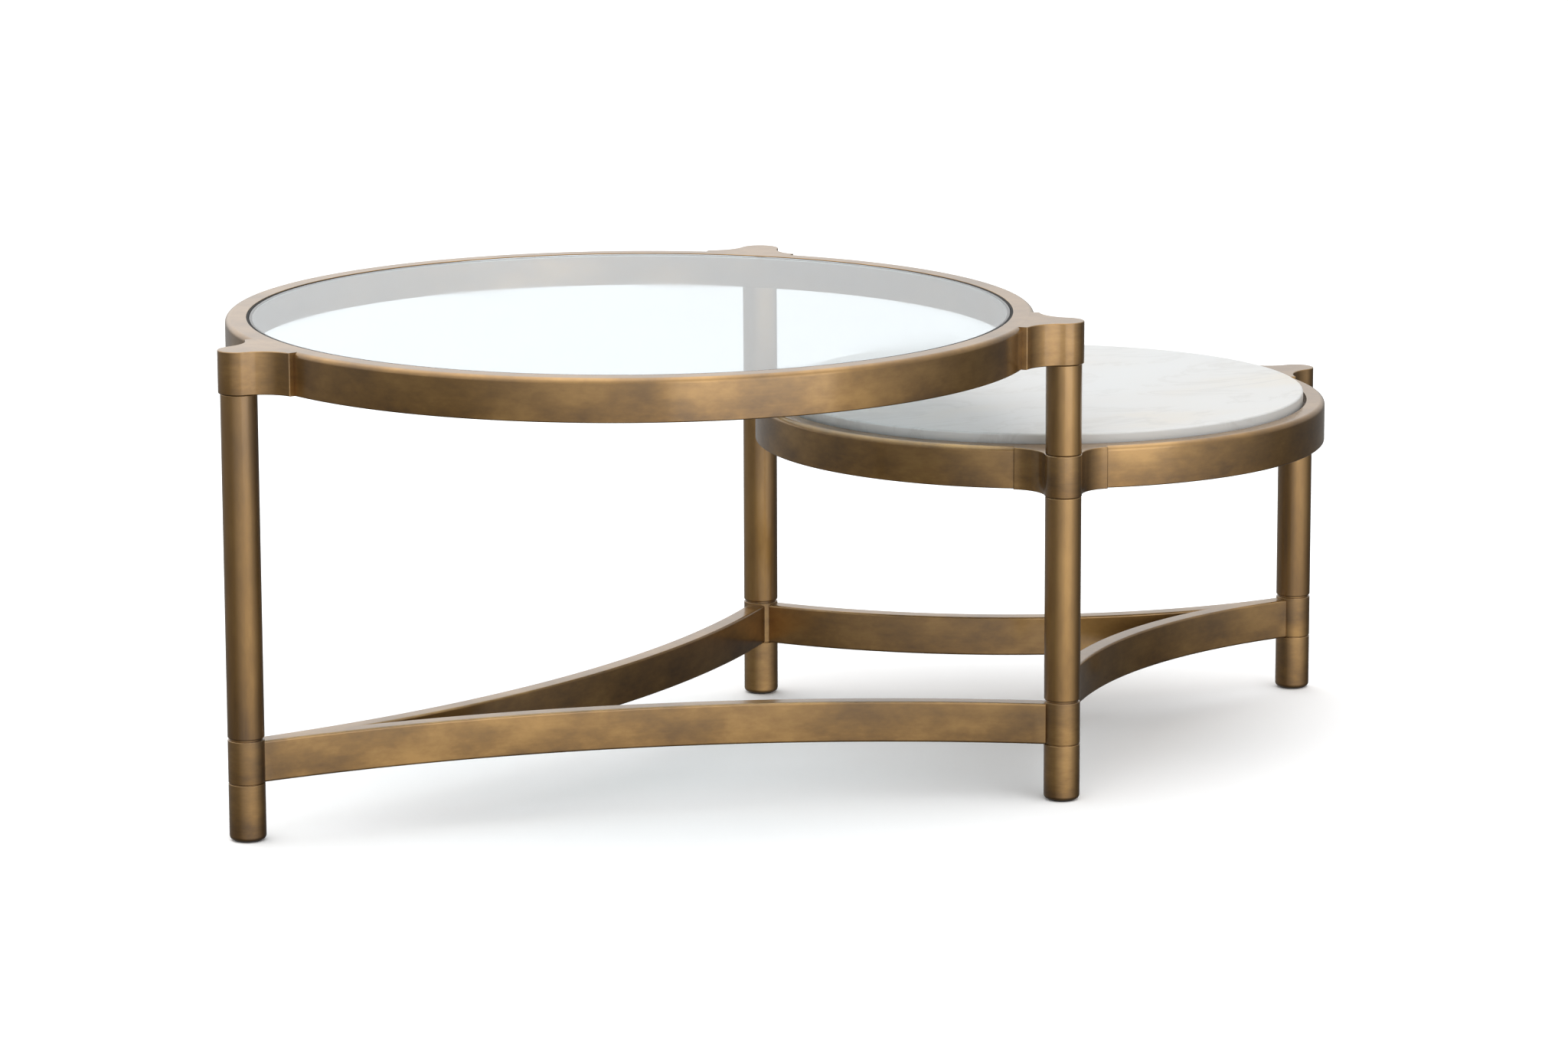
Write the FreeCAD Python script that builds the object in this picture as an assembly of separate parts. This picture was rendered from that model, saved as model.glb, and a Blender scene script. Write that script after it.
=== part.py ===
import FreeCAD, Part
import math
import os

os.makedirs("parts", exist_ok=True)
Vector = FreeCAD.Vector

# A two-tier occasional table. A large ring holds a glass top and a small, lower ring holds a marble top.
# Row frame: +X from the large end to the small end, +Z up, origin on the floor at the middle of the box.
# The table is a mirror image of itself about the plane Y = 0. Millimetres and degrees throughout.

# ---- Driving dimensions: overall ----
table_height = 457.0        # floor to the top of the large ring
small_height = 331.0        # floor to the top of the small ring
large_ring_r = 380.0        # outside radius of the large ring
small_ring_r = 280.0        # outside radius of the small ring
large_post_offset = 31.0    # from the large ring's outer wall out to a post's axis
small_post_offset = 33.5    # the same for the small ring
small_leg_angle = 60.0      # each shared leg, seen from the small ring's centre, from the table's long axis

# ---- Ring tubes ----
ring_height = 40.0
ring_wall = 2.0
large_band = 20.0           # width of the large ring's tube, seen from above
small_band = 18.0
ring_top_round = 5.0        # big round along the outer top edge
ring_edge_round = 1.2

# ---- Lugs that join the rings to the posts ----
lug_half = 44.0             # half the length of ring that one lug covers
lug_flank_r = 35.0          # hollow curve from the lug's blunt end to its knuckle
lug_edge_round = 1.0
large_lug_proud = 5.0       # how far the blunt ends stand out from the ring
small_lug_proud = 4.0
large_knuckle_over = 1.8    # knuckle beyond the post, all round
small_knuckle_over = 0.5
thread_depth = 24.0         # blind thread for the tie rod, up from the lug's underside

# ---- Posts, collars and feet ----
post_r = 17.0
post_wall = 2.5
post_edge_round = 1.2
foot_top = 54.0
collar_gap = 0.8            # shadow line between a foot and its collar
collar_top = 94.8
post_gap = 1.8              # shadow line between a collar and the post above it
neck_inset = 1.6            # how deep both shadow lines go
spigot_length = 10.0        # turned spigots that enter the post tubes
spigot_clearance = 0.15
boss_r = 8.0                # small boss that centres a collar on its foot
boss_length = 4.0
foot_round = 4.0

# ---- Tie rods and their fastenings ----
rod_r = 4.0
rod_clearance = 0.4
washer_r = 8.0
washer_thickness = 1.6
nut_flats = 13.0
nut_height = 6.5
rod_end = 2.0               # thread that shows below the nut
pocket_r = 9.5
pocket_top = 18.4           # floor to the seat of the washer

# ---- Glides ----
glide_inset = 4.0           # foot's wall round the glide, at the floor
glide_proud = 1.0
glide_socket = 4.0
glide_round = 0.5

# ---- Stretcher bars ----
bar_height = 39.0
bar_width = 18.0
bar_wall = 2.0
bar_low = 54.0              # floor to a bar's underside
bar_edge_round = 1.5
cope_depth = 1.0            # how far a collar sits into the bar's squared end
bar_cap = 4.0               # solid metal closing each end of the hollow bar
hairline = 0.3              # between the two bars that meet at an end post
long_bar_apex = -10.0       # from an end post's axis to where its bars run along the mirror plane
short_bar_apex = 20.0

# ---- Glass top ----
glass_thickness = 8.0
glass_drop = 0.5            # top face below the ring's top
glass_gap = 2.5             # glass edge to ring, filled by the seal
seal_clearance = 0.3
seal_drop = 0.8
seat_width = 3.0
seat_thickness = 1.0
glass_ledge_width = 6.0
ledge_thickness = 3.0
glass_edge_round = 1.0

# ---- Marble top ----
marble_thickness = 20.0
marble_proud = 9.0          # top face above the small ring
marble_gap = 3.2
marble_ledge_width = 16.0
marble_edge_round = 1.5
pad_r = 6.0
pad_thickness = 1.5
pad_count = 6

# ---- Where everything stands ----
large_knuckle_r = post_r + large_knuckle_over
small_knuckle_r = post_r + small_knuckle_over
large_pitch = large_ring_r + large_post_offset
small_pitch = small_ring_r + small_post_offset
shared_y = small_pitch * math.sin(math.radians(small_leg_angle))
shared_dx = math.sqrt(large_pitch ** 2 - shared_y ** 2)
rings_apart = shared_dx + small_pitch * math.cos(math.radians(small_leg_angle))
low_x = -large_pitch - large_knuckle_r
high_x = rings_apart + small_pitch + small_knuckle_r
large_x = -(low_x + high_x) / 2
small_x = large_x + rings_apart

large_centre = Vector(large_x, 0, 0)
small_centre = Vector(small_x, 0, 0)
post_at = {
    "a": Vector(large_x - large_pitch, 0, 0),
    "b": Vector(large_x + shared_dx, -shared_y, 0),
    "c": Vector(large_x + shared_dx, shared_y, 0),
    "d": Vector(small_x + small_pitch, 0, 0),
}

large_underside = table_height - ring_height
small_underside = small_height - ring_height
post_bottom = collar_top + post_gap
post_bore_r = post_r - post_wall
spigot_r = post_bore_r - spigot_clearance
neck_r = post_r - neck_inset
rod_hole_r = rod_r + rod_clearance
glide_r = post_r - glide_inset
bar_end_r = post_r - cope_depth
glass_top_z = table_height - glass_drop
glass_bottom_z = glass_top_z - glass_thickness
glass_r = large_ring_r - large_band - glass_gap
marble_top_z = small_height + marble_proud
marble_bottom_z = marble_top_z - marble_thickness
marble_r = small_ring_r - small_band - marble_gap


def save(name, shape):
    shape.exportStep("parts/" + name + ".step")


def disc(radius, low, high, centre):
    return Part.makeCylinder(radius, high - low, Vector(centre.x, centre.y, low))


def washer(outer, inner, low, high, centre):
    return disc(outer, low, high, centre).cut(disc(inner, low, high, centre))


def round_edges(shape, radius, wanted):
    edges = [edge for edge in shape.Edges if wanted(edge)]
    return shape.makeFillet(radius, edges)


def circle_edges(radius, heights):
    """Picks the full circles of one radius at the given heights."""
    def wanted(edge):
        if not isinstance(edge.Curve, Part.Circle):
            return False
        if abs(edge.Curve.Radius - radius) > 1e-6:
            return False
        return any(abs(edge.Curve.Center.z - height) < 1e-6 for height in heights)
    return wanted


def rounded_disc(radius, low, high, edge_round, centre):
    plain = disc(radius, low, high, centre)
    return round_edges(plain, edge_round, circle_edges(radius, (low, high)))


def angle_from(centre, point):
    return math.degrees(math.atan2(point.y - centre.y, point.x - centre.x))


# ---- Rings ----
def ring(centre, outer_r, band, low, lug_angles):
    """A rolled box tube. Under each lug its top edge stays square, so that the lug sits flush."""
    high = low + ring_height
    inner_r = outer_r - band
    body = washer(outer_r, inner_r, low, high, centre)
    body = round_edges(body, ring_top_round, circle_edges(outer_r, (high,)))
    body = round_edges(body, ring_edge_round, circle_edges(outer_r, (low,)))
    corner_low = high - ring_top_round
    half_angle = math.degrees(math.asin(lug_half / outer_r))
    for angle in lug_angles:
        corner = Part.makeCylinder(outer_r, ring_top_round, Vector(centre.x, centre.y, corner_low),
                                   Vector(0, 0, 1), 2 * half_angle)
        corner = corner.cut(disc(outer_r - ring_top_round, corner_low, high, centre))
        corner.rotate(centre, Vector(0, 0, 1), angle - half_angle)
        body = body.fuse(corner)
    hollow = washer(outer_r - ring_wall - ring_edge_round, inner_r + ring_wall,
                    low + ring_wall, high - ring_wall - ring_edge_round, centre)
    return body.removeSplitter().cut(hollow)


# ---- Lugs ----
def flank_centre(knuckle, corner, knuckle_r):
    """Centre of the hollow curve that leaves the corner and runs smoothly into the knuckle."""
    to_knuckle = knuckle_r + lug_flank_r
    across = corner - knuckle
    apart = across.Length
    along = (to_knuckle ** 2 - lug_flank_r ** 2 + apart ** 2) / (2 * apart)
    aside = math.sqrt(to_knuckle ** 2 - along ** 2)
    unit = across * (1 / apart)
    return knuckle + unit * along + Vector(-unit.y, unit.x, 0) * aside


def mirrored(point):
    return Vector(-point.x, point.y, point.z)


def lug(ring_r, knuckle_r, proud, low, centre, post):
    """A casting with a saddle that fits the ring's wall and a knuckle round the post's axis."""
    pitch = (post - centre).Length
    turn = math.asin(lug_half / ring_r)
    outward = Vector(math.sin(turn), math.cos(turn), 0)
    saddle_end = outward * ring_r
    corner = outward * (ring_r + proud)
    knuckle = Vector(0, pitch, 0)
    flank = flank_centre(knuckle, corner, knuckle_r)
    join = knuckle + (flank - knuckle).normalize() * knuckle_r
    to_corner = (corner - flank).normalize()
    to_join = (join - flank).normalize()
    middle = flank + (to_corner + to_join).normalize() * lug_flank_r
    tip = knuckle + Vector(0, knuckle_r, 0)
    edges = [
        Part.Arc(mirrored(saddle_end), Vector(0, ring_r, 0), saddle_end).toShape(),
        Part.LineSegment(saddle_end, corner).toShape(),
        Part.Arc(corner, middle, join).toShape(),
        Part.Arc(join, tip, mirrored(join)).toShape(),
        Part.Arc(mirrored(join), mirrored(middle), mirrored(corner)).toShape(),
        Part.LineSegment(mirrored(corner), mirrored(saddle_end)).toShape(),
    ]
    solid = Part.Face(Part.Wire(edges)).extrude(Vector(0, 0, ring_height))

    def eased(edge):
        middle_point = edge.CenterOfMass
        clear_of_saddle = math.hypot(middle_point.x, middle_point.y) > ring_r + proud / 4
        upright = abs(edge.Vertexes[0].Z - edge.Vertexes[-1].Z) > 1
        at_corner = abs(abs(middle_point.x) - corner.x) < 0.01
        return clear_of_saddle and (at_corner or not upright)

    solid = round_edges(solid, lug_edge_round, eased)
    solid.rotate(Vector(0, 0, 0), Vector(0, 0, 1), angle_from(centre, post) - 90)
    solid.translate(Vector(centre.x, centre.y, low))
    return solid


def end_lug(ring_r, knuckle_r, proud, low, centre, post):
    """A lug that caps a post: a spigot below and a blind thread for the tie rod."""
    solid = lug(ring_r, knuckle_r, proud, low, centre, post)
    solid = solid.fuse(disc(spigot_r, low - spigot_length, low, post))
    return solid.cut(disc(rod_r, low - spigot_length, low + thread_depth, post))


def through_lug(ring_r, knuckle_r, proud, low, centre, post):
    """A lug held between two lengths of post: a spigot above and below, and a hole for the rod."""
    high = low + ring_height
    solid = lug(ring_r, knuckle_r, proud, low, centre, post)
    solid = solid.fuse(disc(spigot_r, low - spigot_length, high + spigot_length, post))
    return solid.cut(disc(rod_hole_r, low - spigot_length, high + spigot_length, post))


# ---- Posts, collars, feet ----
def post_tube(low, high, post):
    tube = rounded_disc(post_r, low, high, post_edge_round, post)
    return tube.cut(disc(post_bore_r, low, high, post))


def collar(post):
    low = foot_top + collar_gap
    body = rounded_disc(post_r, low, collar_top, post_edge_round / 2, post)
    body = body.fuse(disc(neck_r, foot_top, post_bottom, post))
    body = body.fuse(disc(boss_r, foot_top - boss_length, foot_top, post))
    body = body.fuse(disc(spigot_r, post_bottom, post_bottom + spigot_length, post))
    return body.cut(disc(rod_hole_r, foot_top - boss_length, post_bottom + spigot_length, post))


def foot(post):
    body = disc(post_r, glide_proud, foot_top, post)
    body = round_edges(body, foot_round, circle_edges(post_r, (glide_proud,)))
    body = round_edges(body, post_edge_round / 2, circle_edges(post_r, (foot_top,)))
    body = body.cut(disc(glide_r, glide_proud, glide_proud + glide_socket, post))
    body = body.cut(disc(pocket_r, glide_proud, pocket_top, post))
    body = body.cut(disc(boss_r + spigot_clearance, foot_top - boss_length - rod_clearance, foot_top, post))
    return body.cut(disc(rod_hole_r, pocket_top, foot_top, post))


def glide(post):
    body = disc(glide_r, 0, glide_proud + glide_socket, post)
    return round_edges(body, glide_round, circle_edges(glide_r, (0,)))


# ---- Tie rods ----
nut_top = pocket_top - washer_thickness
nut_bottom = nut_top - nut_height
rod_bottom = nut_bottom - rod_end


def tie_rod(top, post):
    return disc(rod_r, rod_bottom, top, post)


def nut(post):
    corner_r = nut_flats / 2 / math.cos(math.radians(30))
    corners = []
    for index in range(7):
        angle = math.radians(60 * index)
        corners.append(Vector(post.x + corner_r * math.cos(angle), post.y + corner_r * math.sin(angle),
                              nut_bottom))
    hexagon = Part.Face(Part.makePolygon(corners)).extrude(Vector(0, 0, nut_height))
    return hexagon.cut(disc(rod_r, nut_bottom, nut_top, post))


# ---- Stretcher bars ----
def curved_block(centre, radius, first, last, half_width, low, high, nearest_y, ease):
    """A block of rectangular section bent along the arc between two angles, trimmed along the mirror plane."""
    def point(r, angle):
        return Vector(centre.x + r * math.cos(angle), centre.y + r * math.sin(angle), low)
    middle = (first + last) / 2
    outer_r = radius + half_width
    inner_r = radius - half_width
    edges = [
        Part.Arc(point(outer_r, first), point(outer_r, middle), point(outer_r, last)).toShape(),
        Part.LineSegment(point(outer_r, last), point(inner_r, last)).toShape(),
        Part.Arc(point(inner_r, last), point(inner_r, middle), point(inner_r, first)).toShape(),
        Part.LineSegment(point(inner_r, first), point(outer_r, first)).toShape(),
    ]
    block = Part.Face(Part.Wire(edges)).extrude(Vector(0, 0, high - low))
    beyond = Part.makeBox(2 * radius, bar_width, high - low, Vector(centre.x - radius, nearest_y, low))
    block = block.cut(beyond)
    if ease > 0:
        block = round_edges(block, ease, lambda edge: isinstance(edge.Curve, Part.Circle))
    return block


def stretcher(end_post, shared_post, apex):
    """The hollow bar on the -Y side. At the end post it and its twin are mitred to the width of one bar."""
    closest_x = end_post.x + math.copysign(1, shared_post.x - end_post.x) * apex
    span = shared_post.x - closest_x
    drop = -shared_post.y
    radius = (span ** 2 + drop ** 2) / (2 * drop)
    centre = Vector(closest_x, -radius, 0)
    first = math.acos((end_post.x - centre.x) / radius)
    last = math.atan2(shared_post.y - centre.y, shared_post.x - centre.x)
    turn = math.copysign(1, last - first)
    end_step = turn * bar_end_r / radius
    cap_step = turn * bar_cap / radius
    bar_top = bar_low + bar_height
    bar = curved_block(centre, radius, first + end_step, last - end_step, bar_width / 2,
                       bar_low, bar_top, -hairline / 2, bar_edge_round)
    hollow = curved_block(centre, radius, first + end_step + cap_step, last - end_step - cap_step,
                          bar_width / 2 - bar_wall, bar_low + bar_wall, bar_top - bar_wall,
                          -hairline / 2 - bar_wall, 0)
    for post in (end_post, shared_post):
        bar = bar.cut(disc(post_r, bar_low - bar_height, bar_top + bar_height, post))
    return bar.cut(hollow)


# ---- Build the rings with their lugs ----
large_posts = ("a", "b", "c")
small_posts = ("b", "c", "d")
large_angles = [angle_from(large_centre, post_at[name]) for name in large_posts]
small_angles = [angle_from(small_centre, post_at[name]) for name in small_posts]
save("large_ring", ring(large_centre, large_ring_r, large_band, large_underside, large_angles))
save("small_ring", ring(small_centre, small_ring_r, small_band, small_underside, small_angles))
for name in large_posts:
    save("large_lug_" + name, end_lug(large_ring_r, large_knuckle_r, large_lug_proud,
                                      large_underside, large_centre, post_at[name]))
for name in small_posts:
    make = end_lug if name == "d" else through_lug
    save("small_lug_" + name, make(small_ring_r, small_knuckle_r, small_lug_proud,
                                   small_underside, small_centre, post_at[name]))

# ---- Build the legs ----
save("post_a", post_tube(post_bottom, large_underside, post_at["a"]))
save("post_d", post_tube(post_bottom, small_underside, post_at["d"]))
for name in ("b", "c"):
    save("post_" + name + "_lower", post_tube(post_bottom, small_underside, post_at[name]))
    save("post_" + name + "_upper", post_tube(small_height, large_underside, post_at[name]))
for name, place in post_at.items():
    rod_top = (small_underside if name == "d" else large_underside) + thread_depth
    save("collar_" + name, collar(place))
    save("foot_" + name, foot(place))
    save("tie_rod_" + name, tie_rod(rod_top, place))
places = list(post_at.values())
save("rod_nuts", Part.makeCompound([nut(place) for place in places]))
save("rod_washers", Part.makeCompound([washer(washer_r, rod_hole_r, nut_top, pocket_top, place)
                                       for place in places]))
save("foot_glides", Part.makeCompound([glide(place) for place in places]))

# ---- Build the stretcher bars: the -Y pair, then their mirror images ----
across = Vector(0, 1, 0)
bar_ab = stretcher(post_at["a"], post_at["b"], long_bar_apex)
bar_bd = stretcher(post_at["d"], post_at["b"], short_bar_apex)
save("bar_ab", bar_ab)
save("bar_bd", bar_bd)
save("bar_ac", bar_ab.mirror(Vector(0, 0, 0), across))
save("bar_cd", bar_bd.mirror(Vector(0, 0, 0), across))

# ---- Build the glass top and what holds it ----
large_inner_r = large_ring_r - large_band
seat_bottom = glass_bottom_z - seat_thickness
save("glass_top", rounded_disc(glass_r, glass_bottom_z, glass_top_z, glass_edge_round, large_centre))
save("glass_seal", washer(large_inner_r, glass_r + seal_clearance, seat_bottom,
                          table_height - seal_drop, large_centre))
save("glass_seat_strip", washer(glass_r, glass_r - seat_width, seat_bottom, glass_bottom_z, large_centre))
save("large_ledge", washer(large_inner_r, large_inner_r - glass_ledge_width,
                           seat_bottom - ledge_thickness, seat_bottom, large_centre))

# ---- Build the marble top and what holds it ----
small_inner_r = small_ring_r - small_band
pad_bottom = marble_bottom_z - pad_thickness
pad_circle_r = small_inner_r - marble_ledge_width / 2
save("marble_top", rounded_disc(marble_r, marble_bottom_z, marble_top_z, marble_edge_round, small_centre))
save("small_ledge", washer(small_inner_r, small_inner_r - marble_ledge_width,
                           pad_bottom - ledge_thickness, pad_bottom, small_centre))
pads = []
for index in range(pad_count):
    angle = math.radians(360 / pad_count * (index + 0.5))
    place = small_centre + Vector(math.cos(angle), math.sin(angle), 0) * pad_circle_r
    pads.append(disc(pad_r, pad_bottom, marble_bottom_z, place))
save("marble_pads", Part.makeCompound(pads))
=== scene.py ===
# %% [markdown]
# # A two-tier occasional table in antique brass, glass and marble
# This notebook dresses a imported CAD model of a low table. A large ring carries a glass top. A smaller and
# lower ring carries a marble top, and the two rings share a pair of legs. The CAD model gives every place
# and size, so each piece made here starts from the box of the CAD part that it stands for.
# Sizes are written in millimetres, as a drawing has them, and one constant turns them to Blender's metres.

# %% Load the frame
import math

import bmesh
import bpy
from mathutils import Euler, Matrix, Vector


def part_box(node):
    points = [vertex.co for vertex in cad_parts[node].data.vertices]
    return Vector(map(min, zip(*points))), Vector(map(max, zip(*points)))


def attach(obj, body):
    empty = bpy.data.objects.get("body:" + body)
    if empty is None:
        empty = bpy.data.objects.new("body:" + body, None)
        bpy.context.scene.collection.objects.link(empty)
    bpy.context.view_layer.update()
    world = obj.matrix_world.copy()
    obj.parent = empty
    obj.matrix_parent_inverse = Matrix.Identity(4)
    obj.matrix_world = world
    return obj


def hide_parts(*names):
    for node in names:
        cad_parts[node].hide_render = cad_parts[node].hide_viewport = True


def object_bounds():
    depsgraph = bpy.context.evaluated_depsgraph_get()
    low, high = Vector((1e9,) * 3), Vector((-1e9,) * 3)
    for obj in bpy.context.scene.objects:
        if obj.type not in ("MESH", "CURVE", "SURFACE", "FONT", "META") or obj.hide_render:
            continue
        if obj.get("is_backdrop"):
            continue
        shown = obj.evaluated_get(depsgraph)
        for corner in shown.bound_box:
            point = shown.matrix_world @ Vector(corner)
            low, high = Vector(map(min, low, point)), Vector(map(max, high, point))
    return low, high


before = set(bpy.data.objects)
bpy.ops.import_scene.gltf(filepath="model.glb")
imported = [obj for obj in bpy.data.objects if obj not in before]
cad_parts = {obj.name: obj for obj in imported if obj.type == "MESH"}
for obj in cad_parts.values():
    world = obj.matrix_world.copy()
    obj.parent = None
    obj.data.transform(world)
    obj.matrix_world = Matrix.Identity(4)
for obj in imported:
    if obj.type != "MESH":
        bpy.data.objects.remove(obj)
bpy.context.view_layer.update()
MM = 0.001


# %% [markdown]
# ## Places
# The rings, posts and tops are all round about an upright axis, so the middle of a part's box is its axis.
# Reading the axis from the frame keeps each piece on its part, and no place is typed twice.

# %% Axes and heights
def axis_of(node):
    low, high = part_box(node)
    return Vector(((low.x + high.x) / 2, (low.y + high.y) / 2, 0))


def heights_of(node):
    low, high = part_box(node)
    return low.z / MM, high.z / MM


def radius_of(node):
    low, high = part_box(node)
    return round((high.x - low.x) / 2 / MM, 1)


LEGS = ("a", "b", "c", "d")
leg_axis = {leg: axis_of("foot_" + leg) for leg in LEGS}
large_axis = axis_of("glass_top")
small_axis = axis_of("marble_top")
LARGE_R, SMALL_R, POST_R = radius_of("large_ring"), radius_of("small_ring"), radius_of("foot_a")
print("Rings stand", round((small_axis - large_axis).length / MM, 1), "mm apart")
print("Outer radii of the rings and of a leg:", LARGE_R, SMALL_R, POST_R, "mm")


# %% [markdown]
# ## Nodes for materials
# Every finish below is a few nodes on a Principled shader. One function adds a node with its settings and
# its links, and another turns the familiar hex colour into the linear numbers that a shader works with.
# The patterns read Object coordinates. All pieces have their origin at the middle of the floor, so a grain
# or a vein runs on from one piece to the next, just as a finish that is wiped over the whole frame does.

# %% Node helpers
def linear(hex_colour):
    channels = [int(hex_colour[i:i + 2], 16) / 255 for i in (1, 3, 5)]
    return (*[c / 12.92 if c <= 0.04045 else ((c + 0.055) / 1.055) ** 2.4 for c in channels], 1.0)


def add_node(material, kind, settings=None, **inputs):
    """Adds a node. A setting is an attribute; an input is a value or another node's output."""
    node = material.node_tree.nodes.new(kind)
    for key, value in (settings or {}).items():
        setattr(node, key, value)
    for key, value in inputs.items():
        socket = node.inputs[int(key[1:])] if key[1:].isdigit() else node.inputs[key.replace("_", " ")]
        if isinstance(value, bpy.types.NodeSocket):
            material.node_tree.links.new(value, socket)
        else:
            socket.default_value = value
    return node


def new_material(name):
    material = bpy.data.materials.new(name)
    material.use_nodes = True
    return material, material.node_tree.nodes["Principled BSDF"]


def connect(material, output, socket):
    material.node_tree.links.new(output, socket)


def set_ramp(ramp, stops):
    elements = ramp.color_ramp.elements
    while len(elements) < len(stops):
        elements.new(0.5)
    for element, (position, colour) in zip(elements, stops):
        element.position = position
        element.color = linear(colour) if isinstance(colour, str) else (colour, colour, colour, 1)


# %% [markdown]
# ## Antique brass
# The frame is steel tube and brass castings under one plated and patinated coat. It is plated, darkened
# with a chemical patina, rubbed back with an abrasive pad along the metal's length, and then lacquered.
# A single brass colour looks like paint. What makes it read as metal is threefold: slow dark clouds where
# the patina was left, a fine grain along the rubbing, and pale edges. The pale edges are partly real wear,
# where the pad took the patina off, and partly a painted highlight where a rounded edge catches the light.
# A number on each point of the mesh marks those edges. It is written when the edges are rounded, and on spun
# and cast pieces it is kept for the upper edges only, so the painted highlight sits where the light falls and
# the lower edges stay dark as in shade.

# %% The brass finish
CLOUD = 75.0        # mm across one cloud of patina
GRAIN_WIDTH = 2.4   # mm from one rub mark to the next: far coarser than real ones, so that they show
GRAIN_LENGTH = 60.0
MARK_SHARE = 0.08   # how much of the tone is grain, beside the clouds
WEAR_AND_HIGHLIGHT_SHARE = 0.2    # how far a marked edge turns pale: partly patina worn off by the pad, partly a painted highlight
PATINA_FROM, PATINA_TO = 0.36, 0.72   # the noise values between which the patina goes from dark to rubbed
PATINA_MIDDLE = (PATINA_FROM + PATINA_TO) / 2
DARK_GLOSS, RUBBED_GLOSS = 0.46, 0.38   # roughness of the dark patina and of the rubbed metal
LACQUER_GLOSS = 0.16                    # roughness of the clear lacquer
MARK_DEPTH, MARK_STRENGTH = 0.15, 0.05  # mm, and how much of that depth the shading shows
A_COLOUR, B_COLOUR, MIXED_COLOUR = 6, 7, 2   # the colour sockets of a Mix node


def brass(name, grain, cloud):
    """grain and cloud give a mark's and a cloud's size along X, Y and Z in millimetres."""
    material, shader = new_material(name)
    place = add_node(material, "ShaderNodeTexCoord").outputs["Object"]
    stretched = add_node(material, "ShaderNodeMapping", Vector=place,
                         Scale=[1 / (size * MM) for size in grain]).outputs[0]
    marks = add_node(material, "ShaderNodeTexNoise", Vector=stretched, Scale=1.0, Detail=4.0,
                     Roughness=0.6).outputs["Fac"]
    wide = add_node(material, "ShaderNodeMapping", Vector=place,
                    Scale=[1 / (size * MM) for size in cloud]).outputs[0]
    clouds = add_node(material, "ShaderNodeTexNoise", Vector=wide, Scale=1.0, Detail=5.0,
                      Roughness=0.62).outputs["Fac"]
    mixed = add_node(material, "ShaderNodeMath", {"operation": "MULTIPLY_ADD"}, _0=marks, _1=MARK_SHARE,
                     _2=clouds).outputs[0]
    tone = add_node(material, "ShaderNodeValToRGB", Fac=mixed)
    set_ramp(tone, [(PATINA_FROM, "#664B29"), (PATINA_MIDDLE, "#866433"), (PATINA_TO, "#A47E45")])
    # The marked edges are mixed toward a paler brass: partly bare, worn metal, partly a painted highlight.
    wear_and_highlight = add_node(material, "ShaderNodeAttribute", {"attribute_name": "wear_and_highlight"}).outputs["Fac"]
    wear_and_highlight_amount = add_node(material, "ShaderNodeMath", {"operation": "MULTIPLY"}, _0=wear_and_highlight,
                    _1=WEAR_AND_HIGHLIGHT_SHARE).outputs[0]
    colour = add_node(material, "ShaderNodeMix", {"data_type": "RGBA"}, Factor=wear_and_highlight_amount)
    connect(material, tone.outputs["Color"], colour.inputs[A_COLOUR])
    colour.inputs[B_COLOUR].default_value = linear("#B79668")
    connect(material, colour.outputs[MIXED_COLOUR], shader.inputs["Base Color"])
    gloss = add_node(material, "ShaderNodeMapRange", Value=mixed, From_Min=PATINA_FROM, From_Max=PATINA_TO,
                     To_Min=DARK_GLOSS, To_Max=RUBBED_GLOSS).outputs[0]
    connect(material, gloss, shader.inputs["Roughness"])
    bump = add_node(material, "ShaderNodeBump", Height=marks, Strength=MARK_STRENGTH,
                    Distance=MARK_DEPTH * MM)
    connect(material, bump.outputs[0], shader.inputs["Normal"])
    shader.inputs["Metallic"].default_value = 1.0
    shader.inputs["Specular Tint"].default_value = linear("#D6D3CC")
    shader.inputs["Coat Weight"].default_value = 1.0
    shader.inputs["Coat Roughness"].default_value = LACQUER_GLOSS
    return material


brass_along = brass("antique_brass_rubbed_lengthwise", (GRAIN_LENGTH, GRAIN_LENGTH, GRAIN_WIDTH),
                    (CLOUD, CLOUD, CLOUD / 2))
brass_turned = brass("antique_brass_turned", (GRAIN_LENGTH / 2, GRAIN_LENGTH / 2, GRAIN_WIDTH / 2),
                     (CLOUD, CLOUD, CLOUD / 2))
brass_upright = brass("antique_brass_rubbed_upright", (GRAIN_WIDTH, GRAIN_WIDTH, GRAIN_LENGTH * 2),
                      (CLOUD, CLOUD, CLOUD * 3))


# %% [markdown]
# ## Glass, marble, rubber, nylon and zinc
# The top is float glass with a cool cast, and with smears that only a low light shows. The marble is a white
# stone with faint grey veins: a vein is where a wandering noise crosses its middle value, so the distance
# from that value draws a thin line. Rubber, nylon and zinc-plated steel are small and mostly hidden, but
# each has its own roughness and its own slight mottle.

# %% Glass
SMEAR = 111.1          # mm across one smear
SMEAR_ROUGHNESS = 0.03
glass, shader = new_material("clear_float_glass")
shader.inputs["Base Color"].default_value = linear("#DFE9ED")
shader.inputs["Transmission Weight"].default_value = 1.0
shader.inputs["IOR"].default_value = 1.52
place = add_node(glass, "ShaderNodeTexCoord").outputs["Object"]
smears = add_node(glass, "ShaderNodeTexNoise", Vector=place, Scale=1 / (SMEAR * MM),
                  Detail=3.0).outputs["Fac"]
haze = add_node(glass, "ShaderNodeMapRange", Value=smears, From_Min=0.4, From_Max=0.7, To_Min=0.0,
                To_Max=SMEAR_ROUGHNESS).outputs[0]
connect(glass, haze, shader.inputs["Roughness"])


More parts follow.
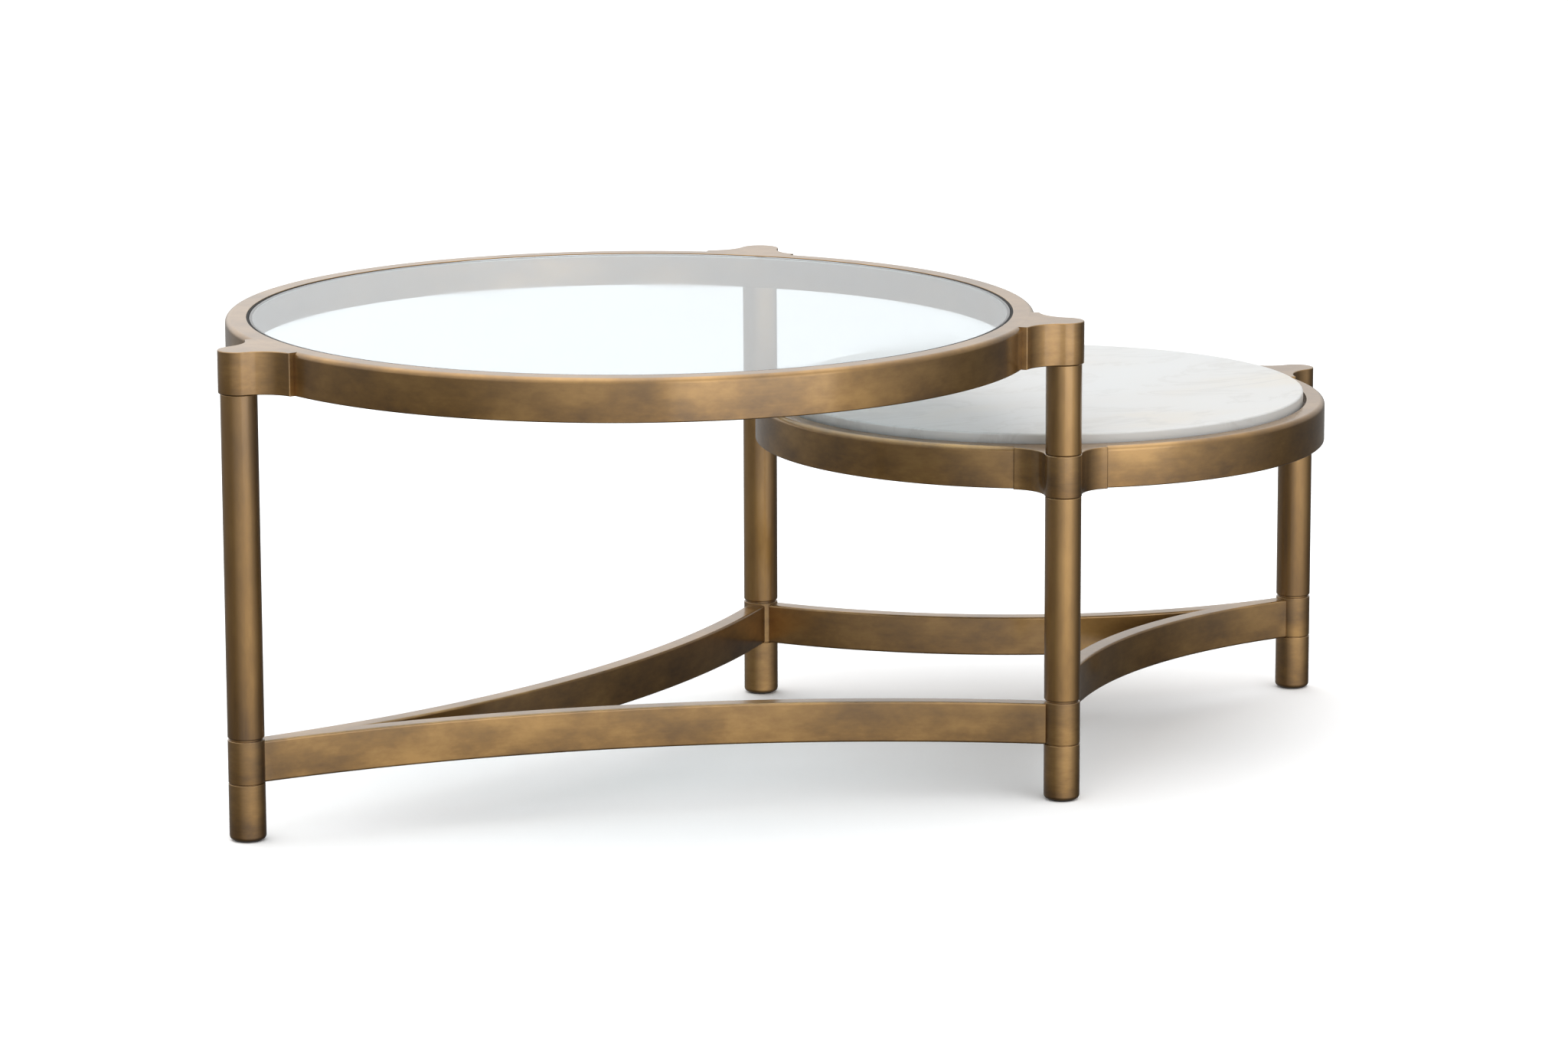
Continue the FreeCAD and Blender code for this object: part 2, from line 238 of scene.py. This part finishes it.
# %% Marble
VEIN_SPACING = 170.0   # mm between the main veins
VEIN_SQUEEZE = 1.9     # how much closer together the veins lie in the direction across them
VEIN_WIDTH = 0.035     # how far from its middle value the noise still counts as vein
marble, shader = new_material("honed_white_marble")
place = add_node(marble, "ShaderNodeTexCoord").outputs["Object"]
turned_place = add_node(marble, "ShaderNodeMapping", Vector=place, Rotation=(0.2, 0.1, 0.6),
                        Scale=[1 / (VEIN_SPACING * MM), VEIN_SQUEEZE / (VEIN_SPACING * MM),
                               1 / (VEIN_SPACING * MM)]).outputs[0]
wander = add_node(marble, "ShaderNodeTexNoise", Vector=turned_place, Scale=1.0, Detail=7.0, Roughness=0.62,
                  Distortion=0.9).outputs["Fac"]
off_middle = add_node(marble, "ShaderNodeMath", {"operation": "SUBTRACT"}, _0=wander, _1=0.5).outputs[0]
distance = add_node(marble, "ShaderNodeMath", {"operation": "ABSOLUTE"}, _0=off_middle).outputs[0]
vein = add_node(marble, "ShaderNodeMapRange", Value=distance, From_Min=0.0, From_Max=VEIN_WIDTH,
                To_Min=1.0, To_Max=0.0).outputs[0]
drift = add_node(marble, "ShaderNodeTexNoise", Vector=turned_place, Scale=0.6, Detail=3.0).outputs["Fac"]
vein_share = add_node(marble, "ShaderNodeMath", {"operation": "MULTIPLY"}, _0=vein, _1=drift).outputs[0]
ground = add_node(marble, "ShaderNodeValToRGB", Fac=drift)
set_ramp(ground, [(0.3, "#BEC0C0"), (0.55, "#BDBDBB"), (0.75, "#BFB8AB")])
stone = add_node(marble, "ShaderNodeMix", {"data_type": "RGBA"}, Factor=vein_share)
connect(marble, ground.outputs["Color"], stone.inputs[A_COLOUR])
stone.inputs[B_COLOUR].default_value = linear("#AEADAA")
connect(marble, stone.outputs[MIXED_COLOUR], shader.inputs["Base Color"])
shader.inputs["Roughness"].default_value = 0.3
shader.inputs["Specular IOR Level"].default_value = 0.3
shader.inputs["Subsurface Weight"].default_value = 0.08
shader.inputs["Subsurface Radius"].default_value = (0.006, 0.005, 0.004)


# %% Rubber, nylon, clear strip and zinc
GLOSS_SPREAD = 0.08   # how far the roughness goes either side of its middle
SPECKLE_DEPTH = 0.02  # mm


def mottled(name, dark, light, grain_mm, roughness, metallic=0.0, specular=0.5):
    material, shader = new_material(name)
    place = add_node(material, "ShaderNodeTexCoord").outputs["Object"]
    speckle = add_node(material, "ShaderNodeTexNoise", Vector=place, Scale=1 / (grain_mm * MM),
                       Detail=3.0).outputs["Fac"]
    tone = add_node(material, "ShaderNodeValToRGB", Fac=speckle)
    set_ramp(tone, [(0.35, dark), (0.65, light)])
    connect(material, tone.outputs["Color"], shader.inputs["Base Color"])
    rough = add_node(material, "ShaderNodeMapRange", Value=speckle, To_Min=roughness - GLOSS_SPREAD,
                     To_Max=roughness + GLOSS_SPREAD).outputs[0]
    connect(material, rough, shader.inputs["Roughness"])
    bump = add_node(material, "ShaderNodeBump", Height=speckle, Strength=0.3,
                    Distance=SPECKLE_DEPTH * MM)
    connect(material, bump.outputs[0], shader.inputs["Normal"])
    shader.inputs["Metallic"].default_value = metallic
    shader.inputs["Specular IOR Level"].default_value = specular
    return material


black_rubber = mottled("extruded_black_rubber", "#0A0B0A", "#131413", 3.0, 0.65, specular=0.2)
pad_rubber = mottled("moulded_pad_rubber", "#2A2A28", "#3B3A37", 2.0, 0.7)
strip_plastic = mottled("soft_clear_vinyl", "#C3CBC8", "#D6DCD9", 6.0, 0.35)
nylon = mottled("moulded_black_nylon", "#191817", "#26241F", 1.2, 0.45)
zinc = mottled("zinc_plated_steel", "#9C9FA1", "#C2C5C6", 4.0, 0.32, metallic=1.0)


# %% [markdown]
# ## Turned pieces
# Rings, posts, collars, feet, glides and both tops are all round, so one way makes them: draw half of the
# section as a few corners, round the corners that are round on the real piece, and spin the section about
# its axis. Spinning gives clean quads with no seam once the first and last rows are merged. A cylinder
# primitive would be quicker, but it has razor edges, and it is the rounded edge that catches the light.

# %% Spin a section
def finish_piece(bm, name, nodes, material, body="frame", slot=None, sharp_angle=40):
    """Turns a bmesh into the piece that stands for the CAD nodes, and puts it on its body."""
    bmesh.ops.recalc_face_normals(bm, faces=bm.faces)
    mesh = bpy.data.meshes.new(name)
    bm.to_mesh(mesh)
    bm.free()
    mesh.polygons.foreach_set("use_smooth", [True] * len(mesh.polygons))
    mesh.set_sharp_from_angle(angle=math.radians(sharp_angle))
    mesh.materials.append(material)
    piece = bpy.data.objects.new(name, mesh)
    bpy.context.scene.collection.objects.link(piece)
    weighted = piece.modifiers.new("even shading", "WEIGHTED_NORMAL")
    weighted.keep_sharp = True
    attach(piece, body)
    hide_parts(*nodes)
    return piece


LEG_STEPS = 72       # facets round a leg
WELD, ON_AXIS = 0.002, 0.001   # mm: points closer than this are one point, or lie on the axis


def rounded_over(bm, geom, rounding, segments, kind, clamped=False):
    """Rounds corners or edges by a radius in millimetres, and returns the points that this made."""
    return bmesh.ops.bevel(bm, geom=geom, offset=rounding * MM, offset_type="OFFSET", segments=segments,
                           profile=0.5, affect=kind, material=-1, clamp_overlap=clamped)["verts"]


def turned(name, nodes, corners, axis, material, steps=LEG_STEPS, **options):
    """corners are (radius, height, rounding) in millimetres, in order round half of the section."""
    bm = bmesh.new()
    wear_and_highlight = bm.verts.layers.float.new("wear_and_highlight")
    points = [bm.verts.new((radius * MM, 0, height * MM)) for radius, height, _ in corners]
    bm.faces.new(points)
    middle = sum(height for _, height, _ in corners) / len(corners) * MM
    for rounding in sorted({corner[2] for corner in corners if corner[2]}):
        chosen = [point for point, corner in zip(points, corners) if corner[2] == rounding]
        for point in rounded_over(bm, chosen, rounding, max(3, round(rounding * 1.5)), "VERTICES"):
            # Painted highlight and wear: only rounded corners in the upper half are marked pale; the lower
            # ones are left dark as in shade.
            point[wear_and_highlight] = float(point.co.z > middle)
    bmesh.ops.delete(bm, geom=bm.faces[:], context="FACES_ONLY")
    on_axis = [edge for edge in bm.edges if all(point.co.x < ON_AXIS * MM for point in edge.verts)]
    bmesh.ops.delete(bm, geom=on_axis, context="EDGES")
    bmesh.ops.spin(bm, geom=bm.verts[:] + bm.edges[:], cent=(0, 0, 0), axis=(0, 0, 1),
                   angle=math.tau, steps=steps, use_merge=True)
    bmesh.ops.remove_doubles(bm, verts=bm.verts, dist=WELD * MM)
    bmesh.ops.translate(bm, verts=bm.verts, vec=axis)
    return finish_piece(bm, name, nodes, material, **options)


# %% [markdown]
# ## Rings
# Each ring is a length of box tube, rolled to a hoop and welded. Rolling leaves the outer top edge with the
# large soft round that draws a light line along the whole ring; the round is also marked pale, so part of
# that line is a painted highlight. A torus would have a round section, so the ring is a spun rectangle with
# its own rounding on each corner.

# %% Rings
LARGE_BAND, SMALL_BAND = 20.0, 18.0
TOP_ROUND, EDGE_ROUND, INNER_ROUND = 5.0, 1.2, 0.6
RING_STEPS = 288


def ring_section(outer, band, low, high):
    return [(outer - band, low, INNER_ROUND), (outer, low, EDGE_ROUND),
            (outer, high, TOP_ROUND), (outer - band, high, INNER_ROUND)]


large_low, large_high = heights_of("large_ring")
small_low, small_high = heights_of("small_ring")
print("Ring tops at", round(large_high), "and", round(small_high), "mm")
turned("ring_large", ["large_ring"], ring_section(LARGE_R, LARGE_BAND, large_low, large_high), large_axis,
       brass_along, RING_STEPS, slot="antique_brass")
turned("ring_small", ["small_ring"], ring_section(SMALL_R, SMALL_BAND, small_low, small_high), small_axis,
       brass_along, RING_STEPS, slot="antique_brass")


# %% [markdown]
# ## Posts, collars, feet and glides
# A leg is a stack: a nylon glide, a turned foot, a solid collar that takes the stretcher bars, and one or
# two lengths of tube. A rod through the middle pulls the stack together. Between the pieces are thin dark
# shadow lines, which are narrow necks turned into the collar. They are modelled as real grooves, because
# a painted line would not darken with depth or catch the light on its lower lip.

# %% Posts
POST_WALL, POST_ROUND = 2.5, 1.2


def post(name, leg):
    low, high = heights_of(name)
    turned("tube_" + name, [name],
           [(POST_R - POST_WALL, low, 0), (POST_R, low, POST_ROUND), (POST_R, high, POST_ROUND),
            (POST_R - POST_WALL, high, 0)],
           leg_axis[leg], brass_upright, slot="antique_brass")


for name, leg in (("post_a", "a"), ("post_d", "d"), ("post_b_lower", "b"), ("post_b_upper", "b"),
                  ("post_c_lower", "c"), ("post_c_upper", "c")):
    post(name, leg)


# %% Collars
NECK_DEPTH, SLIP = 1.6, 0.15   # mm: depth of a shadow line, and room between a spigot and its tube
NECK_R, SPIGOT_R = POST_R - NECK_DEPTH, POST_R - POST_WALL - SLIP
BOSS_R, ROD_HOLE_R = 8.0, 4.4
FOOT_GAP, POST_GAP, SPIGOT, BOSS = 0.8, 1.8, 10.0, 4.0
COLLAR_ROUND = 0.6

for leg in LEGS:
    bottom, top = heights_of("collar_" + leg)
    seat, shoulder = bottom + BOSS, top - SPIGOT
    turned("turned_collar_" + leg, ["collar_" + leg],
           [(ROD_HOLE_R, bottom, 0), (BOSS_R, bottom, 0), (BOSS_R, seat, 0), (NECK_R, seat, 0),
            (NECK_R, seat + FOOT_GAP, 0), (POST_R, seat + FOOT_GAP, COLLAR_ROUND),
            (POST_R, shoulder - POST_GAP, COLLAR_ROUND), (NECK_R, shoulder - POST_GAP, 0),
            (NECK_R, shoulder, 0), (SPIGOT_R, shoulder, 0), (SPIGOT_R, top, 0), (ROD_HOLE_R, top, 0)],
           leg_axis[leg], brass_turned, slot="antique_brass")


# %% Feet
FOOT_ROUND, GLIDE_SOCKET, POCKET_R, POCKET_TOP = 4.0, 4.0, 9.5, 18.4
BOSS_HOLE, BOSS_HOLE_R = 4.4, BOSS_R + SLIP
GLIDE_R = POST_R - FOOT_ROUND
LIP = 0.01   # mm of flat left between the rounding and the glide, so that no two points coincide

for leg in LEGS:
    low, high = heights_of("foot_" + leg)
    turned("turned_foot_" + leg, ["foot_" + leg],
           [(GLIDE_R, low, 0), (POST_R, low, FOOT_ROUND - LIP), (POST_R, high, COLLAR_ROUND),
            (BOSS_HOLE_R, high, 0), (BOSS_HOLE_R, high - BOSS_HOLE, 0), (ROD_HOLE_R, high - BOSS_HOLE, 0),
            (ROD_HOLE_R, POCKET_TOP, 0), (POCKET_R, POCKET_TOP, 0), (POCKET_R, low + GLIDE_SOCKET, 0),
            (GLIDE_R, low + GLIDE_SOCKET, 0)],
           leg_axis[leg], brass_turned, slot="antique_brass")


# %% [markdown]
# ## Glass and marble tops
# Both tops are discs with worked edges. The glass has a polished round of about a millimetre and lies half a
# millimetre below the ring, with a black seal round it. The marble is thicker and stands proud of its ring,
# so its eased upper edge shows all the way round.

# %% Tops
GLASS_R, GLASS_ROUND = radius_of("glass_top"), 1.0
MARBLE_R, MARBLE_ROUND, MARBLE_FOOT_ROUND = radius_of("marble_top"), 2.0, 1.0

low, high = heights_of("glass_top")
turned("glass_disc", ["glass_top"],
       [(0, low, 0), (GLASS_R, low, GLASS_ROUND), (GLASS_R, high, GLASS_ROUND), (0, high, 0)],
       large_axis, glass, RING_STEPS, body="glass_top", slot="clear_glass")
low, high = heights_of("marble_top")
turned("marble_disc", ["marble_top"],
       [(0, low, 0), (MARBLE_R, low, MARBLE_FOOT_ROUND), (MARBLE_R, high, MARBLE_ROUND), (0, high, 0)],
       small_axis, marble, RING_STEPS, body="marble_top", slot="white_marble")


# %% [markdown]
# ## Stretcher bars
# Four bars of box tube, bent to a shallow curve, tie the legs together near the floor. At each end leg two
# bars run into one, so that the pair is no wider than a single bar. A bar is a rounded rectangle spun through
# a few degrees about the centre of its bend, which is what a bending roll does. The half that would cross
# into its twin is then cut off along the middle of the table, as a mitre saw would, and the cut is closed.
# The ends are eased and marked pale all round, partly as wear and partly as a painted highlight, so that they
# show a pale edge next to the collar. A curve object with a bevel would twist its section, and a spin keeps
# it upright.

# %% Bars
BAR_WIDTH, BAR_ROUND, END_ROUND = 18.0, 2.2, 1.2
SEAM = 0.02                           # from the middle of the table to the mitred face of a bar
BAR_END = 14.0                        # from a leg's axis to the end of a bar
LONG_APEX, SHORT_APEX = -10.0, 20.0   # from an end leg's axis to where its bars run along the middle
BAR_STEPS, EDGE_SEGMENTS = 64, 3


def bent_bar(name, node, end_leg, shared_leg, apex):
    """Bends one bar from an end leg to a shared leg, and cuts it off along the middle of the table."""
    end, shared = leg_axis[end_leg] / MM, leg_axis[shared_leg] / MM
    side = math.copysign(1, shared.y)
    way = math.copysign(1, shared.x - end.x)
    nearest = Vector((end.x + way * apex, 0, 0))
    span, drop = shared.x - nearest.x, abs(shared.y - nearest.y)
    radius = (span ** 2 + drop ** 2) / (2 * drop)
    centre = nearest + Vector((0, side * radius, 0))
    start_angle = math.atan2(-side * math.sqrt(radius ** 2 - apex ** 2), -way * apex)
    last_angle = math.atan2(shared.y - centre.y, shared.x - centre.x)
    sweep = (last_angle - start_angle + math.pi) % math.tau - math.pi
    trim = math.copysign(BAR_END / radius, sweep)
    low, high = heights_of(node)
    inner, outer, middle = radius - BAR_WIDTH / 2, radius + BAR_WIDTH / 2, (low + high) / 2
    bm = bmesh.new()
    wear_and_highlight = bm.verts.layers.float.new("wear_and_highlight")
    bm.faces.new([bm.verts.new((reach * MM, 0, height * MM)) for reach, height in
                  ((inner, low), (outer, low), (outer, high), (inner, high))])
    for point in rounded_over(bm, bm.verts[:], BAR_ROUND, EDGE_SEGMENTS, "VERTICES"):
        # Painted highlight and wear: only rounded corners in the upper half are marked pale; the lower ones
        # are left dark as in shade.
        point[wear_and_highlight] = float(point.co.z > middle * MM)
    bmesh.ops.delete(bm, geom=bm.faces[:], context="FACES_ONLY")
    bmesh.ops.rotate(bm, verts=bm.verts, cent=(0, 0, 0),
                     matrix=Matrix.Rotation(start_angle + trim, 3, "Z"))
    bmesh.ops.spin(bm, geom=bm.verts[:] + bm.edges[:], cent=(0, 0, 0), axis=(0, 0, 1),
                   angle=sweep - 2 * trim, steps=BAR_STEPS)
    rims = [edge for edge in bm.edges if edge.is_boundary]
    bmesh.ops.holes_fill(bm, edges=rims, sides=0)
    # The eased ends are marked pale all round: partly wear, partly a painted highlight next to the collar.
    for point in rounded_over(bm, rims, END_ROUND, EDGE_SEGMENTS, "EDGES"):
        point[wear_and_highlight] = 1.0
    bmesh.ops.translate(bm, verts=bm.verts, vec=centre * MM)
    cut = bmesh.ops.bisect_plane(bm, geom=bm.verts[:] + bm.edges[:] + bm.faces[:],
                                 plane_co=(0, side * SEAM * MM, 0), plane_no=(0, -side, 0),
                                 clear_outer=True)
    mitre = [item for item in cut["geom_cut"] if isinstance(item, bmesh.types.BMEdge)]
    bmesh.ops.contextual_create(bm, geom=mitre)
    print(name, "bend radius", round(radius), "mm")
    finish_piece(bm, name, [node], brass_along, slot="antique_brass")


bent_bar("curved_bar_ab", "bar_ab", "a", "b", LONG_APEX)
bent_bar("curved_bar_ac", "bar_ac", "a", "c", LONG_APEX)
bent_bar("curved_bar_bd", "bar_bd", "d", "b", SHORT_APEX)
bent_bar("curved_bar_cd", "bar_cd", "d", "c", SHORT_APEX)


# %% [markdown]
# ## Lugs
# A lug is a casting that joins a ring to a leg. Seen from above, it is a saddle that lies along the ring, a
# hollow flank on each side, and a round knuckle on the leg's axis. The outline starts as one point, and
# spinning that point about the centre of each curve draws the outline. Filling it, raising it and rounding
# its edges makes the casting. The saddle reaches into the ring's tube, and its top lies a hair below the
# ring's top, so that the two read as one surface, as they do after welding and grinding.

# %% Lugs
LUG_HALF, FLANK_R, LUG_ROUND, SADDLE_DEPTH = 44.0, 35.0, 1.0, 7.0
GROUND_STEP = 0.03                # how far the lug's top lies below the ring's
LARGE_PROUD, SMALL_PROUD = 5.0, 4.0   # how far the saddle's ends stand out from the ring
LARGE_KNUCKLE_R, SMALL_KNUCKLE_R = 18.8, 17.5
SADDLE_STEPS, FLANK_STEPS, KNUCKLE_STEPS = 24, 14, 40
LUG_WELD = 0.01
CORNER = math.radians(30)         # edges that turn more than this are eased


def cast_lug(name, node, ring_axis, ring_r, leg, knuckle_r, proud, low, high):
    """Draws a lug's outline with the ring's axis at the origin and the leg along Y, then raises it."""
    pitch = (leg_axis[leg] - ring_axis).length / MM
    turn = math.asin(LUG_HALF / ring_r)
    outward = Vector((math.sin(turn), math.cos(turn), 0))
    corner, knuckle = outward * (ring_r + proud), Vector((0, pitch, 0))
    reach, apart = knuckle_r + FLANK_R, (corner - knuckle).length
    along = (reach ** 2 - FLANK_R ** 2 + apart ** 2) / (2 * apart)
    aside = math.sqrt(reach ** 2 - along ** 2)
    unit = (corner - knuckle) / apart
    flank = knuckle + unit * along + Vector((-unit.y, unit.x, 0)) * aside
    join = knuckle + (flank - knuckle).normalized() * knuckle_r
    bm = bmesh.new()
    wear_and_highlight = bm.verts.layers.float.new("wear_and_highlight")

    def draw(point, centre, angle, steps):
        made = bmesh.ops.spin(bm, geom=[point], cent=centre * MM, axis=(0, 0, 1), angle=angle, steps=steps)
        return made["geom_last"][0]

    def turn_between(centre, start, end):
        return (end - centre).xy.angle_signed((start - centre).xy)

    first = bm.verts.new(outward * (ring_r - SADDLE_DEPTH) * MM)
    saddle_end = draw(first, Vector((0, 0, 0)), 2 * turn, SADDLE_STEPS)
    point = bm.verts.new(corner * MM)
    bm.edges.new((first, point))
    point = draw(point, flank, turn_between(flank, corner, join), FLANK_STEPS)
    far_join, far_flank, far_corner = [Vector((-near.x, near.y, 0)) for near in (join, flank, corner)]
    knuckle_turn = abs(turn_between(knuckle, join, far_join))
    if join.y < knuckle.y:
        knuckle_turn = math.tau - knuckle_turn
    point = draw(point, knuckle, knuckle_turn, KNUCKLE_STEPS)
    point = draw(point, far_flank, turn_between(far_flank, far_join, far_corner), FLANK_STEPS)
    bm.edges.new((point, saddle_end))
    bmesh.ops.remove_doubles(bm, verts=bm.verts, dist=LUG_WELD * MM)
    print(name, "outline points", len(bm.verts))
    outline = bmesh.ops.contextual_create(bm, geom=bm.edges[:])["faces"]
    raised = bmesh.ops.extrude_face_region(bm, geom=outline)["geom"]
    bmesh.ops.translate(bm, verts=[item for item in raised if isinstance(item, bmesh.types.BMVert)],
                        vec=(0, 0, (high - low - GROUND_STEP) * MM))
    bmesh.ops.recalc_face_normals(bm, faces=bm.faces)
    outer = ring_r + proud / 4
    eased = [edge for edge in bm.edges
             if min(point.co.xy.length for point in edge.verts) > outer * MM
             and edge.calc_face_angle(0) > CORNER]
    for point in rounded_over(bm, eased, LUG_ROUND, EDGE_SEGMENTS, "EDGES", clamped=True):
        # Painted highlight and wear: only eased edges in the upper half of the lug are marked pale.
        point[wear_and_highlight] = float(point.co.z > (high - low) / 2 * MM)
    away = leg_axis[leg] - ring_axis
    bmesh.ops.rotate(bm, verts=bm.verts, cent=(0, 0, 0),
                     matrix=Matrix.Rotation(math.atan2(away.y, away.x) - math.pi / 2, 3, "Z"))
    bmesh.ops.translate(bm, verts=bm.verts, vec=ring_axis + Vector((0, 0, low * MM)))
    finish_piece(bm, name, [node], brass_along, slot="antique_brass")


for leg in ("a", "b", "c"):
    cast_lug("cast_large_lug_" + leg, "large_lug_" + leg, large_axis, LARGE_R, leg, LARGE_KNUCKLE_R,
             LARGE_PROUD, large_low, large_high)
for leg in ("b", "c", "d"):
    cast_lug("cast_small_lug_" + leg, "small_lug_" + leg, small_axis, SMALL_R, leg, SMALL_KNUCKLE_R,
             SMALL_PROUD, small_low, small_high)


# %% [markdown]
# ## Parts kept from the CAD model
# The seal, the ledges, the pads, the glides and the fastenings keep their CAD meshes, which are already the
# right shape. Each gets the finish that its real material has.

# %% Finishes for the kept parts
KEPT = {
    "glass_seal": (black_rubber, "black_seal"), "glass_seat_strip": (strip_plastic, "clear_strip"),
    "large_ledge": (brass_along, "antique_brass"), "small_ledge": (brass_along, "antique_brass"),
    "marble_pads": (pad_rubber, "rubber_pads"), "foot_glides": (nylon, "nylon_glides"),
    "rod_nuts": (zinc, "zinc_steel"), "rod_washers": (zinc, "zinc_steel"),
    "tie_rod_a": (zinc, "zinc_steel"), "tie_rod_b": (zinc, "zinc_steel"),
    "tie_rod_c": (zinc, "zinc_steel"), "tie_rod_d": (zinc, "zinc_steel"),
}
for node, (material, slot) in KEPT.items():
    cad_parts[node].data.materials.clear()
    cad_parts[node].data.materials.append(material)


# %% [markdown]
# ## Floor, light and camera
# Metal shows what is round it, so the room matters as much as the finish. The world is pale above and dim
# near the floor. A dark curtain on the right shades one side of each post. A lit backdrop behind the tables
# turns the tops of the rings silvery, because metal seen at a low angle reflects what stands behind it. A
# lit stretch of floor in front does the same for the upright faces. One soft box hangs over the tables, and a
# weaker one stands in front. A single strong lamp in front would light the faces too, but its mirror image
# would glare in the glass as soon as somebody walks round to the back.
# The floor mesh is seen but left out of reflections, where the world's lower half stands for it. That keeps
# the hidden side of the metal dark, and lets the two be set apart.

# %% Floor
FLOOR_HALF = 60.0   # metres
bm = bmesh.new()
bmesh.ops.create_grid(bm, x_segments=1, y_segments=1, size=FLOOR_HALF)
mesh = bpy.data.meshes.new("floor")
bm.to_mesh(mesh)
bm.free()
floor = bpy.data.objects.new("floor", mesh)
bpy.context.scene.collection.objects.link(floor)
floor.visible_glossy = False
paper, shader = new_material("pale_paper_floor")
shader.inputs["Base Color"].default_value = linear("#F6F6F6")
shader.inputs["Roughness"].default_value = 0.9
shader.inputs["Specular IOR Level"].default_value = 0.0
mesh.materials.append(paper)
floor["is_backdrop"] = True

# %% World
RIGHT_DIM = 0.5   # what is left of the light from the right, where the studio has a dark curtain
BACK_GAIN = 1.3   # how much brighter the lit backdrop behind the tables is
FLOOR_GAIN = 5.0  # how much brighter the lit floor in front of the tables is than the floor behind them
world = bpy.data.worlds.new("studio")
bpy.context.scene.world = world
world.use_nodes = True
direction = add_node(world, "ShaderNodeTexCoord").outputs["Generated"]
along = add_node(world, "ShaderNodeSeparateXYZ", _0=direction).outputs
height = add_node(world, "ShaderNodeMapRange", Value=along["Z"], From_Min=-1.0).outputs[0]
glow = add_node(world, "ShaderNodeValToRGB", Fac=height)
set_ramp(glow, [(0.0, 0.1), (0.38, 0.17), (0.46, 0.32), (0.5, 0.55), (0.56, 0.85), (0.66, 1.0),
                (0.8, 1.3), (1.0, 1.9)])
curtain = add_node(world, "ShaderNodeMapRange", Value=along["X"], From_Min=0.3, To_Min=1.0,
                   To_Max=RIGHT_DIM).outputs[0]
backdrop = add_node(world, "ShaderNodeMapRange", Value=along["Y"], From_Min=0.3, From_Max=0.9, To_Min=1.0,
                    To_Max=BACK_GAIN).outputs[0]
front = add_node(world, "ShaderNodeMapRange", Value=along["Y"], From_Min=-0.2, From_Max=-0.9, To_Min=1.0,
                 To_Max=FLOOR_GAIN).outputs[0]
downward = add_node(world, "ShaderNodeMapRange", Value=along["Z"], From_Min=0.05, From_Max=-0.1,
                    To_Min=0.0, To_Max=1.0).outputs[0]
lit_floor = add_node(world, "ShaderNodeMix", {"data_type": "FLOAT"}, _0=downward, _2=1.0,
                     _3=front).outputs[0]
walls = add_node(world, "ShaderNodeMath", {"operation": "MULTIPLY"}, _0=backdrop, _1=lit_floor).outputs[0]
gain = add_node(world, "ShaderNodeMath", {"operation": "MULTIPLY"}, _0=curtain, _1=walls).outputs[0]
room = add_node(world, "ShaderNodeVectorMath", {"operation": "SCALE"}, _0=glow.outputs["Color"],
                Scale=gain).outputs[0]
connect(world, room, world.node_tree.nodes["Background"].inputs["Color"])

# %% Camera
CAMERA_AT = (-2.95647, -4.77242, 1.34121)   # metres
CAMERA_TURN, CAMERA_DIP, CAMERA_ROLL = 31.6553, 11.230, -0.189   # degrees
CAMERA_LENS, CAMERA_SENSOR = 136.29, 36.0   # mm
camera = bpy.data.objects.new("camera", bpy.data.cameras.new("camera"))
bpy.context.scene.collection.objects.link(camera)
camera.data.lens = CAMERA_LENS
camera.data.sensor_width = CAMERA_SENSOR
aim = Euler((math.radians(90 - CAMERA_DIP), 0, math.radians(-CAMERA_TURN))).to_matrix().to_4x4()
roll = Matrix.Rotation(math.radians(CAMERA_ROLL), 4, "Z")
camera.matrix_world = Matrix.Translation(CAMERA_AT) @ aim @ roll
camera.data.clip_end = 200.0   # metres, well past the far edge of the floor
bpy.context.scene.camera = camera

# %% Lights
TABLE_MIDDLE = (0.0, 0.0, 0.3)


def soft_box(name, place, width, height, watts):
    """A plain rectangular light that faces the middle of the tables. Places and sizes are in metres."""
    light = bpy.data.lights.new(name, "AREA")
    light.shape = "RECTANGLE"
    light.size, light.size_y, light.energy = width, height, watts
    box = bpy.data.objects.new(name, light)
    bpy.context.scene.collection.objects.link(box)
    box.location = place
    box.rotation_euler = (Vector(TABLE_MIDDLE) - Vector(place)).to_track_quat("-Z", "Y").to_euler()
    box.visible_camera = False
    print(name, "gives", watts, "W from a sheet of", width, "by", height, "m")


soft_box("over_the_tables", (0.0, 0.6, 3.2), 4.5, 4.5, 30.0)
soft_box("in_front", (0.0, -3.0, 0.8), 2.6, 2.0, 22.0)

bpy.context.scene.view_settings.view_transform = "Standard"
bpy.context.scene.view_settings.look = "None"

# %% Sizes and finish
low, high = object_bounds()
print("Visual box in millimetres:", [round((b - a) / MM, 1) for a, b in zip(low, high)])
